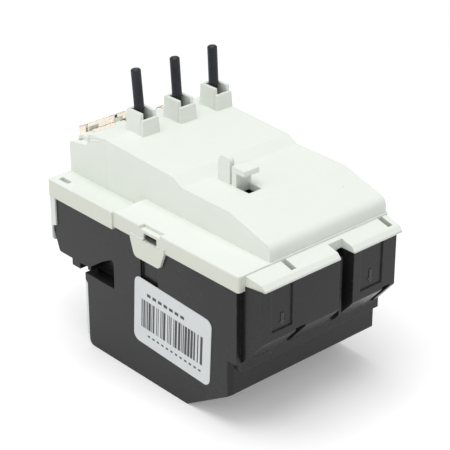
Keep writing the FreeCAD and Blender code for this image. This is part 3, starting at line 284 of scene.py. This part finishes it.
def upright_below(tree, position, height):
    """A mask of the outermost upright faces lower than a height, where painted shade goes."""
    fade = 0.15 * MM
    inner_x = 23 * MM
    outer_x = 24 * MM
    parts = tree.nodes.new("ShaderNodeSeparateXYZ")
    wire(tree, position, parts.inputs[0])
    low = remap(tree, parts.outputs["Z"], height + fade, height - fade)
    outward = remap(tree, calculate(tree, "ABSOLUTE", parts.outputs["X"]), inner_x, outer_x)
    surface = tree.nodes.new("ShaderNodeNewGeometry")
    facing = tree.nodes.new("ShaderNodeSeparateXYZ")
    wire(tree, surface.outputs["Normal"], facing.inputs[0])
    upright = remap(tree, calculate(tree, "ABSOLUTE", facing.outputs["Z"]), 0.7, 0.3)
    return calculate(tree, "MULTIPLY", calculate(tree, "MULTIPLY", low, outward), upright)


def plastic(name, colour, drifted, rubbed_and_highlit, speck, roughness=0.45, spread=0.08, specks_share=0.12,
            speck_size=0.06, grain_depth=0.012, edge=0.3, specular=0.5, shaded_skirt=None):
    """A moulding: grain, slow colour drift, lighter edges that are part wear and part painted highlight, and a
    few specks.

    colour and drifted are the two ends of its slow drift; the third colour lightens its edges, part wear and
    part painted highlight; speck is its specks.
    grain_depth and edge are millimetres. The last argument, a (height, colour), paints shade: upright outer
    faces below that height are drawn darker and warmer.
    """
    material, tree, shader, position = blank(name)
    drift = place_effect(tree, DRIFT, Position=position)
    rub_and_highlight = place_effect(tree, RUB_AND_HIGHLIGHT, Position=position, Reach=edge * MM)
    specks = place_effect(tree, SPECKS, Position=position, Share=specks_share, Speck_size=speck_size)
    tint = blend_colour(tree, drift.outputs["Mask"], colour, drifted)
    # painted shade: upright outer faces below the given height drawn darker and warmer
    if shaded_skirt:
        tint = blend_colour(tree, upright_below(tree, position, shaded_skirt[0]), tint, shaded_skirt[1])
    # painted highlight and wear: edges drawn in the lighter edge colour
    tint = blend_colour(tree, rub_and_highlight.outputs["Mask"], tint, rubbed_and_highlit)
    tint = blend_colour(tree, specks.outputs["Mask"], tint, speck)
    wire(tree, tint, shader.inputs["Base Color"])
    shine = remap(tree, drift.outputs["Mask"], 0.0, 1.0, roughness - spread, roughness + spread)
    wire(tree, shine, shader.inputs["Roughness"])
    shader.inputs["Specular IOR Level"].default_value = specular
    grain = place_effect(tree, GRAIN, Position=position)
    raise_surface(tree, shader, grain.outputs["Height"], grain_depth * MM, rub_and_highlight.outputs["Normal"])
    return material


def metal(name, colour, tarnished, roughness=0.32, stretch=(1, 1, 0.06)):
    """Plated, rolled or drawn metal; its lines run along the axis that has the smallest stretch."""
    edge = 0.15 * MM
    line_depth = 0.004 * MM
    material, tree, shader, position = blank(name)
    lines = place_effect(tree, LINES, Position=position, Stretch=stretch)
    drift = place_effect(tree, DRIFT, Position=position, Patches_per_metre=170.0)
    rub_and_highlight = place_effect(tree, RUB_AND_HIGHLIGHT, Position=position, Reach=edge)
    tint = blend_colour(tree, drift.outputs["Mask"], colour, tarnished)
    # painted highlight and wear: edges drawn a quarter brighter than the metal
    bright = tuple(min(1.0, c * 1.25) for c in colour)
    tint = blend_colour(tree, rub_and_highlight.outputs["Mask"], tint, bright)
    wire(tree, tint, shader.inputs["Base Color"])
    shader.inputs["Metallic"].default_value = 1.0
    shine = remap(tree, lines.outputs["Mask"], 0.0, 1.0, roughness - 0.07, roughness + 0.09)
    wire(tree, shine, shader.inputs["Roughness"])
    raise_surface(tree, shader, lines.outputs["Height"], line_depth, rub_and_highlight.outputs["Normal"])
    return material


def clear_amber():
    """The clear cover: see-through, warm where it is thick, with fine scuffs in its shine and paler edges that
    are part wear, part painted highlight.
    """
    material, tree, shader, position = blank("clear_amber")
    drift = place_effect(tree, DRIFT, Position=position)
    rub_and_highlight = place_effect(tree, RUB_AND_HIGHLIGHT, Position=position, Reach=0.35 * MM)
    specks = place_effect(tree, SPECKS, Position=position, Share=0.3, Speck_size=0.05)
    tint = blend_colour(tree, drift.outputs["Mask"], (0.94, 0.87, 0.75), (0.91, 0.83, 0.69))
    # paler edges: part wear, part painted highlight
    tint = blend_colour(tree, rub_and_highlight.outputs["Mask"], tint, (0.93, 0.88, 0.78))
    wire(tree, tint, shader.inputs["Base Color"])
    shine = remap(tree, specks.outputs["Mask"], 0.0, 1.0, 0.08, 0.4)
    wire(tree, shine, shader.inputs["Roughness"])
    shader.inputs["Transmission Weight"].default_value = 0.92
    shader.inputs["IOR"].default_value = 1.2
    wire(tree, rub_and_highlight.outputs["Normal"], shader.inputs["Normal"])
    return material


def darkened_copper():
    """The line pins: blackened copper, browner at the foot."""
    material, tree, shader, position = blank("darkened_copper")
    lines = place_effect(tree, LINES, Position=position, Stretch=(1, 1, 0.08))
    drift = place_effect(tree, DRIFT, Position=position, Patches_per_metre=260.0)
    rub_and_highlight = place_effect(tree, RUB_AND_HIGHLIGHT, Position=position, Reach=0.25 * MM)
    height = tree.nodes.new("ShaderNodeSeparateXYZ")
    wire(tree, position, height.inputs[0])
    foot_top = pin_high.z - 11.5 * MM
    foot_full = pin_high.z - 15 * MM
    foot = remap(tree, height.outputs["Z"], foot_top, foot_full)
    worn = calculate(tree, "MULTIPLY", foot, drift.outputs["Mask"])
    tint = blend_colour(tree, drift.outputs["Mask"], (0.008, 0.010, 0.017), (0.016, 0.017, 0.024))
    tint = blend_colour(tree, worn, tint, (0.075, 0.035, 0.026))
    # edges drawn lighter: part wear, part painted highlight
    tint = blend_colour(tree, rub_and_highlight.outputs["Mask"], tint, (0.050, 0.034, 0.032))
    wire(tree, tint, shader.inputs["Base Color"])
    shader.inputs["Metallic"].default_value = 0.2
    shine = remap(tree, lines.outputs["Mask"], 0.0, 1.0, 0.36, 0.52)
    wire(tree, shine, shader.inputs["Roughness"])
    raise_surface(tree, shader, lines.outputs["Height"], 0.006 * MM, rub_and_highlight.outputs["Normal"])
    return material


def printed_paper(name, colour, soiled, roughness=0.5):
    """Coated sticker paper, or the ink on it."""
    material, tree, shader, position = blank(name)
    drift = place_effect(tree, DRIFT, Position=position, Patches_per_metre=110.0)
    tint = blend_colour(tree, drift.outputs["Mask"], colour, soiled)
    wire(tree, tint, shader.inputs["Base Color"])
    shine = remap(tree, drift.outputs["Mask"], 0.0, 1.0, roughness - 0.06, roughness + 0.06)
    wire(tree, shine, shader.inputs["Roughness"])
    grain = place_effect(tree, GRAIN, Position=position, Grains_per_metre=6000.0)
    raise_surface(tree, shader, grain.outputs["Height"], 0.004 * MM)
    return material


# painted shade on the white moulding: its upright outer faces below this height are drawn darker and warmer
shaded_skirt_top = flange_top - 0.4 * MM

WHITE = plastic("white_moulding", (0.80, 0.836, 0.782), (0.78, 0.816, 0.76), (0.87, 0.89, 0.85),
                (0.34, 0.32, 0.28), roughness=0.5, spread=0.06, specks_share=0.10, speck_size=0.05,
                grain_depth=0.006, edge=0.35, specular=0.35, shaded_skirt=(shaded_skirt_top, (0.70, 0.72, 0.635)))
# the third colour lightens the black edges about fivefold: part wear, part painted highlight
BLACK = plastic("black_moulding", (0.016, 0.0162, 0.0165), (0.020, 0.0202, 0.0205), (0.075, 0.075, 0.077),
                (0.15, 0.15, 0.15), roughness=0.28, spread=0.05, speck_size=0.05, grain_depth=0.010,
                specular=0.27)
POLISHED = plastic("polished_mark", (0.006, 0.006, 0.006), (0.008, 0.008, 0.008), (0.10, 0.10, 0.10),
                   (0.05, 0.05, 0.05), roughness=0.14, spread=0.03, specks_share=0.05, speck_size=0.05,
                   grain_depth=0.002, edge=0.1)
PANEL = plastic("panel_moulding", (0.77, 0.80, 0.77), (0.74, 0.77, 0.735), (0.86, 0.88, 0.86),
                (0.30, 0.29, 0.26), roughness=0.48, spread=0.06, specks_share=0.05, speck_size=0.045,
                grain_depth=0.006, specular=0.35)
CLEAR = clear_amber()
DIAL = plastic("dial_moulding", (0.80, 0.80, 0.77), (0.77, 0.77, 0.73), (0.88, 0.88, 0.86), (0.3, 0.3, 0.28),
               roughness=0.34, spread=0.05, specks_share=0.05, speck_size=0.04, grain_depth=0.004, edge=0.2)
BLUE = plastic("reset_blue", (0.018, 0.09, 0.42), (0.022, 0.10, 0.46), (0.10, 0.22, 0.62), (0.3, 0.35, 0.5),
               roughness=0.32, spread=0.05, specks_share=0.06, speck_size=0.04, grain_depth=0.004, edge=0.25)
RED = plastic("stop_red", (0.50, 0.018, 0.014), (0.55, 0.022, 0.016), (0.75, 0.12, 0.09), (0.6, 0.4, 0.38),
              roughness=0.32, spread=0.05, specks_share=0.06, speck_size=0.04, grain_depth=0.004, edge=0.25)
ORANGE = plastic("flag_orange", (0.80, 0.24, 0.02), (0.84, 0.27, 0.03), (0.9, 0.4, 0.1), (0.5, 0.3, 0.2))
NATURAL = plastic("slide_natural", (0.62, 0.57, 0.46), (0.58, 0.53, 0.42), (0.72, 0.68, 0.58),
                  (0.3, 0.25, 0.2), roughness=0.4)
COPPER = metal("load_copper", (0.72, 0.38, 0.24), (0.50, 0.24, 0.15), 0.34, (0.06, 1, 1))
PIN = darkened_copper()
HEATER = metal("heater_strip", (0.42, 0.40, 0.38), (0.30, 0.26, 0.23), 0.42, (1, 1, 12))
BIMETAL = metal("bimetal", (0.58, 0.54, 0.48), (0.46, 0.41, 0.34), 0.36)
CAGE = metal("cage_zinc", (0.66, 0.66, 0.64), (0.52, 0.52, 0.50), 0.38, (1, 0.06, 1))
SCREW = metal("screw_zinc", (0.70, 0.69, 0.64), (0.55, 0.53, 0.46), 0.30, (1, 0.1, 1))
STEEL = metal("drawn_steel", (0.60, 0.60, 0.60), (0.45, 0.44, 0.43), 0.28, (0.05, 1, 1))
SPRING = metal("spring_wire", (0.52, 0.52, 0.54), (0.40, 0.39, 0.39), 0.30)
CONTACT = metal("contact_strip", (0.78, 0.58, 0.28), (0.58, 0.40, 0.20), 0.30)
PAPER = printed_paper("sticker_paper", (0.70, 0.725, 0.735), (0.675, 0.70, 0.71))
INK = printed_paper("sticker_ink", (0.035, 0.035, 0.04), (0.055, 0.055, 0.06), 0.45)
MARK = printed_paper("panel_ink", (0.03, 0.03, 0.032), (0.05, 0.05, 0.05), 0.45)

FINISHES = {
    "black_housing": BLACK,
    "white_cover": WHITE,
    "clear_cover": CLEAR,
    "panel_plastic": PANEL,
    "dial_white": DIAL,
    "button_blue": BLUE,
    "button_red": RED,
    "flag_orange": ORANGE,
    "slide_plastic": NATURAL,
    "pin_copper": PIN,
    "load_copper": COPPER,
    "heater_strip": HEATER,
    "bimetal": BIMETAL,
    "cage_steel": CAGE,
    "screw_steel": SCREW,
    "steel_small": STEEL,
    "spring_steel": SPRING,
    "contact_brass": CONTACT,
    "label_paper": PAPER,
}


def finish_nodes():
    """Gives each CAD node the finish of its slot."""
    for part in frame["record"]["subparts"]:
        node = frame["nodes"][part["node"]]
        node.data.materials.clear()
        node.data.materials.append(FINISHES[part["material_slot"]])


# ---------------------------------------------------------------- printed and moulded marks
def mesh_piece(name, corners, faces, material, body):
    """A new mesh piece from its corners and faces, riding on a body."""
    mesh = bpy.data.meshes.new(name)
    mesh.from_pydata(corners, [], faces)
    mesh.update()
    mesh.materials.append(material)
    piece = bpy.data.objects.new(name, mesh)
    bpy.context.scene.collection.objects.link(piece)
    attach(piece, body)
    return piece


def round_edges(piece, width):
    """Rounds a piece's edges."""
    rounded = piece.modifiers.new("rounded_edges", "BEVEL")
    rounded.width = width
    rounded.segments = 2


def add_block(corners, faces, outline, far_outline):
    """Adds a closed shape between two outlines with as many points."""
    first = len(corners)
    count = len(outline)
    corners.extend(outline)
    corners.extend(far_outline)
    faces.append([first + count + i for i in range(count)])
    faces.append([first + i for i in reversed(range(count))])
    for i in range(count):
        after = (i + 1) % count
        faces.append([first + i, first + after, first + count + after, first + count + i])


def add_slab(corners, faces, outline, lift):
    """Adds a thin raised shape: its outline's points, and their copies moved by lift."""
    add_block(corners, faces, outline, [point + lift for point in outline])


def add_upright_slab(corners, faces, x0, x1, z0, z1, front_y, thickness):
    """Adds a rectangular slab that faces the operator."""
    outline = [Vector((x0, front_y, z0)), Vector((x1, front_y, z0)), Vector((x1, front_y, z1)),
               Vector((x0, front_y, z1))]
    add_slab(corners, faces, outline, Vector((0, thickness, 0)))


def sticker_place(along, up):
    """A point on the sticker's face, from its centre, along its length and up its height."""
    middle = (sticker_low + sticker_high) / 2
    tilt = math.radians(3.0)
    sunk = 0.01 * MM
    y = middle.y + along * math.cos(tilt) + up * math.sin(tilt)
    z = middle.z - along * math.sin(tilt) + up * math.cos(tilt)
    return Vector((sticker_high.x - sunk, y, z))


def sticker_bar(corners, faces, along0, along1, up0, up1):
    """Adds one printed bar between two places along the sticker and two up it."""
    ink_thickness = 0.03 * MM
    outline = [sticker_place(along0, up0), sticker_place(along1, up0), sticker_place(along1, up1),
               sticker_place(along0, up1)]
    add_slab(corners, faces, outline, Vector((ink_thickness, 0, 0)))


def sticker_print():
    """Plain bars of mixed widths between two rows of short dashes; they spell and code nothing."""
    chance = random.Random(7)
    bars_end = 12.6 * MM
    bars_low = -4.9 * MM
    bars_high = 3.9 * MM
    bar_widths = (0.28, 0.28, 0.42, 0.62, 0.9)
    bar_gaps = (0.3, 0.36, 0.5, 0.8)
    corners = []
    faces = []
    along = -bars_end
    while along < bars_end:
        width = chance.choice(bar_widths) * MM
        sticker_bar(corners, faces, along, along + width, bars_low, bars_high)
        along += width + chance.choice(bar_gaps) * MM
    # each row of dashes: its height on the sticker, a dash's height, first and last place, step and width
    dash_rows = ((6.0, 0.9, -10.4, 5.0, 2.3, 1.5), (-6.9, 0.55, -9.8, 12.8, 1.9, 0.95))
    for row, height, first, last, step, width in dash_rows:
        low = (row - height / 2) * MM
        high = (row + height / 2) * MM
        at = first
        while at < last:
            sticker_bar(corners, faces, at * MM, (at + width) * MM, low, high)
            at += step
    mesh_piece("sticker_print", corners, faces, INK, "housing")


def block_arrow(name, middle_x, low_z, length, width):
    """A small raised arrow on a rear block, pointing down to where the foot unhooks."""
    recess_y = housing_high.y - 0.4 * MM
    sunk = 0.02 * MM
    raised = 0.15 * MM
    shaft = width * 0.22
    head = length * 0.42
    shape = [(0, 0), (width / 2, head), (shaft, head), (shaft, length), (-shaft, length), (-shaft, head),
             (-width / 2, head)]
    outline = [Vector((middle_x - a, recess_y - sunk, low_z + b)) for a, b in shape]
    corners = []
    faces = []
    add_slab(corners, faces, outline, Vector((0, sunk + raised, 0)))
    mesh_piece(name, corners, faces, POLISHED, "housing")


def shroud_wall(corners, faces, middle_x, low_shape, high_shape, low_z, high_z):
    """Adds a drafted wall round a pin from its plan at the foot and at the top."""
    low = [Vector((middle_x + a, b, low_z)) for a, b in low_shape]
    high = [Vector((middle_x + a, b, high_z)) for a, b in high_shape]
    add_block(corners, faces, low, high)


def pin_shroud(name, mount):
    """The drafted shroud of a line pin: a U on three sides and a lower sill at the rear."""
    # half widths, then places from the operator's side to the rear, then heights
    top_half = 2.83 * MM
    foot_half = 3.15 * MM
    room_half = 1.78 * MM
    foot_front = -31.5 * MM
    top_front = -31.23 * MM
    room_front = -30.18 * MM
    step = -24.98 * MM
    top_back = -23.97 * MM
    foot_back = -23.65 * MM
    foot_z = 58.2 * MM
    sill_z = 64.05 * MM
    wall_z = 65.85 * MM
    x = mount["pos_m"][0]

    def horseshoe(half, front):
        """The plan of the wall on three sides, open to the rear."""
        return [(-half, front), (half, front), (half, step), (room_half, step), (room_half, room_front),
                (-room_half, room_front), (-room_half, step), (-half, step)]

    def sill(half, back):
        """The plan of the sill that closes the rear."""
        return [(-half, step), (half, step), (half, back), (-half, back)]

    corners = []
    faces = []
    wall_foot = horseshoe(foot_half, foot_front)
    wall_top = horseshoe(top_half, top_front)
    shroud_wall(corners, faces, x, wall_foot, wall_top, foot_z, wall_z)
    shroud_wall(corners, faces, x, sill(foot_half, foot_back), sill(top_half, top_back), foot_z, sill_z)
    round_edges(mesh_piece(name, corners, faces, WHITE, "housing"), 0.15 * MM)


def cover_grip():
    """The clear strip that bridges the knuckles, with two pale pads behind it that are painted glints seen
    through the strip.
    """
    top = clear_high.z - 0.1 * MM
    low = (hinge_low.z + hinge_high.z) / 2 + 1.1 * MM
    strip_spans = ((12.3, 15.3), (1.7, 4.1), (-1.6, 1.7))
    strip_thickness = 0.8 * MM
    corners = []
    faces = []
    for x0, x1 in strip_spans:
        add_upright_slab(corners, faces, x0 * MM, x1 * MM, low, top, clear_low.y, strip_thickness)
    mesh_piece("cover_grip", corners, faces, CLEAR, "cover")

    # painted glints: two pale pads behind the clear strip
    pad_spans = ((9.0, 12.4), (0.2, 3.4))
    pad_low = top - 1.9 * MM
    pad_high = top - 0.5 * MM
    pad_front = clear_low.y + 1.31 * MM
    pad_thickness = 0.12 * MM
    corners = []
    faces = []
    for x0, x1 in pad_spans:
        add_upright_slab(corners, faces, x0 * MM, x1 * MM, pad_low, pad_high, pad_front, pad_thickness)
    round_edges(mesh_piece("glint_pads", corners, faces, WHITE, "cover"), 0.04 * MM)


def overhang_lip():
    """The small lip under the rear edge of the overhang, in the side notch."""
    low_z = 23.9 * MM
    height = 1.6 * MM
    inner_x = 12.0 * MM
    outer_x = housing_high.x - 0.85 * MM
    front = -25.6 * MM
    rear = -24.3 * MM
    corners = []
    faces = []
    outline = [Vector((inner_x, front, low_z)), Vector((outer_x, front, low_z)),
               Vector((outer_x, rear, low_z)), Vector((inner_x, rear, low_z))]
    add_slab(corners, faces, outline, Vector((0, 0, height)))
    mesh_piece("overhang_lip", corners, faces, BLACK, "housing")


def written(name, words, place, height, body):
    """A short plain mark that faces the operator."""
    curve = bpy.data.curves.new(name, "FONT")
    curve.body = words
    curve.size = height
    curve.align_x = "CENTER"
    curve.align_y = "CENTER"
    curve.extrude = 0.02 * MM
    curve.resolution_u = 3
    curve.materials.append(MARK)
    piece = bpy.data.objects.new(name, curve)
    piece.rotation_euler = (math.radians(90), 0, 0)
    piece.location = place
    bpy.context.scene.collection.objects.link(piece)
    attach(piece, body)


def dial_scale():
    """Plain ticks round the dial, and plain numbers on its face."""
    middle = (dial_low + dial_high) / 2
    radius = (dial_high.x - dial_low.x) / 2
    recess_y = panel_low.y + 2.0 * MM
    tick_half = 0.11 * MM
    tick_gap = 0.2 * MM
    tick_length = 0.35 * MM
    tick_rise = 0.02 * MM
    corners = []
    faces = []
    for i in range(7):
        angle = math.radians(225 - 45 * i)
        out = Vector((math.cos(angle), 0, math.sin(angle)))
        side = Vector((-out.z, 0, out.x)) * tick_half
        start = Vector((middle.x, recess_y, middle.z)) + out * (radius + tick_gap)
        stop = start + out * tick_length
        outline = [start - side, start + side, stop + side, stop - side]
        add_slab(corners, faces, outline, Vector((0, -tick_rise, 0)))
    mesh_piece("dial_ticks", corners, faces, MARK, "housing")

    number_ring = radius * 0.74
    number_height = 1.7 * MM
    face_y = dial_low.y - 0.01 * MM
    for i in range(5):
        angle = math.radians(210 - 60 * i)
        out = Vector((math.cos(angle), 0, math.sin(angle))) * number_ring
        place = Vector((middle.x, face_y, middle.z)) + out
        written("dial_number_%d" % (i + 1), str(i + 1), place, number_height, "dial")


# ---------------------------------------------------------------- room, light and camera
def shown_white(tree, kind, strength):
    """A plain white Emission or Background node."""
    node = tree.nodes.new(kind)
    node.inputs["Color"].default_value = (1, 1, 1, 1)
    node.inputs["Strength"].default_value = strength
    return node.outputs[0]


def choose_shader(tree, share, first, second):
    """Mixes two shaders: all first where share is 0, all second where it is 1."""
    node = tree.nodes.new("ShaderNodeMixShader")
    wire(tree, share, node.inputs[0])
    wire(tree, first, node.inputs[1])
    wire(tree, second, node.inputs[2])
    return node.outputs[0]


def floor_paper():
    """The floor: it keeps the part's shadow near the part, and shows plain white farther out."""
    near = 0.12
    far = 0.3
    material, tree, shader, position = blank("floor_paper")
    shader.inputs["Base Color"].default_value = (0.86, 0.86, 0.86, 1)
    shader.inputs["Roughness"].default_value = 0.9
    ray = tree.nodes.new("ShaderNodeLightPath")
    seen = calculate(tree, "MAXIMUM", ray.outputs["Is Camera Ray"], ray.outputs["Is Glossy Ray"])
    seen = calculate(tree, "MAXIMUM", seen, ray.outputs["Is Transmission Ray"])
    lifted = tree.nodes.new("ShaderNodeAddShader")
    wire(tree, shader.outputs[0], lifted.inputs[0])
    wire(tree, shown_white(tree, "ShaderNodeEmission", 0.22), lifted.inputs[1])
    distance = tree.nodes.new("ShaderNodeVectorMath")
    distance.operation = "LENGTH"
    wire(tree, position, distance.inputs[0])
    away = remap(tree, distance.outputs["Value"], near, far)
    fading = choose_shader(tree, away, lifted.outputs[0], shown_white(tree, "ShaderNodeEmission", 1.0))
    surface = choose_shader(tree, seen, shader.outputs[0], fading)
    wire(tree, surface, tree.nodes["Material Output"].inputs["Surface"])
    return material


def white_room():
    """A pale floor and a surround that shows white, while the light on the part stays plain."""
    floor_size = 6.0
    bpy.ops.mesh.primitive_plane_add(size=floor_size, location=(0, 0, housing_low.z - 0.02 * MM))
    floor = bpy.context.object
    floor.name = "floor"
    floor.data.materials.append(floor_paper())

    world = bpy.data.worlds.new("studio")
    bpy.context.scene.world = world
    world.use_nodes = True
    tree = world.node_tree
    plain = tree.nodes["Background"]
    plain.inputs["Color"].default_value = (1, 1, 1, 1)
    plain.inputs["Strength"].default_value = 0.62
    ray = tree.nodes.new("ShaderNodeLightPath")
    seen = calculate(tree, "MAXIMUM", ray.outputs["Is Camera Ray"], ray.outputs["Is Transmission Ray"])
    surface = choose_shader(tree, seen, plain.outputs[0], shown_white(tree, "ShaderNodeBackground", 1.0))
    wire(tree, surface, tree.nodes["World Output"].inputs["Surface"])


def soft_lamp(name, place, size, power):
    """A large square lamp that faces the relay."""
    light = bpy.data.lights.new(name, "AREA")
    light.shape = "SQUARE"
    light.size = size
    light.energy = power
    lamp = bpy.data.objects.new(name, light)
    lamp.location = place
    middle_of_relay = Vector((0, 0, 0.035))
    aim = middle_of_relay - Vector(place)
    lamp.rotation_euler = aim.to_track_quat("-Z", "Y").to_euler()
    bpy.context.scene.collection.objects.link(lamp)


def camera():
    """Long lens from behind and above the sticker's side."""
    lens = bpy.data.cameras.new("camera")
    lens.lens = 131.64
    lens.sensor_width = 36.0
    lens.clip_start = 0.01
    eye = bpy.data.objects.new("camera", lens)
    eye.location = (0.2713, 0.3035, 0.2466)
    looked_at = Vector((-0.00328, -0.00071, 0.03726))
    aim = looked_at - eye.location
    eye.rotation_euler = aim.to_track_quat("-Z", "Y").to_euler()
    bpy.context.scene.collection.objects.link(eye)
    bpy.context.scene.camera = eye


finish_nodes()
sticker_print()
block_arrow("arrow_right", middle_x=17.5 * MM, low_z=32.4 * MM, length=4.0 * MM, width=2.4 * MM)
block_arrow("arrow_left", middle_x=-15.0 * MM, low_z=32.8 * MM, length=4.4 * MM, width=2.4 * MM)
dial_scale()
for mount in frame["record"]["mounts"]:
    if mount["name"].startswith("line_pin"):
        pin_shroud(mount["name"].replace("line_pin", "pin_shroud"), mount)
cover_grip()
overhang_lip()
white_room()
soft_lamp("lamp_over", (0.12, 0.02, 0.93), size=0.7, power=4.6)
soft_lamp("lamp_side", (0.85, -0.15, 0.35), size=0.6, power=1.0)
camera()

bpy.context.scene.view_settings.view_transform = "Standard"
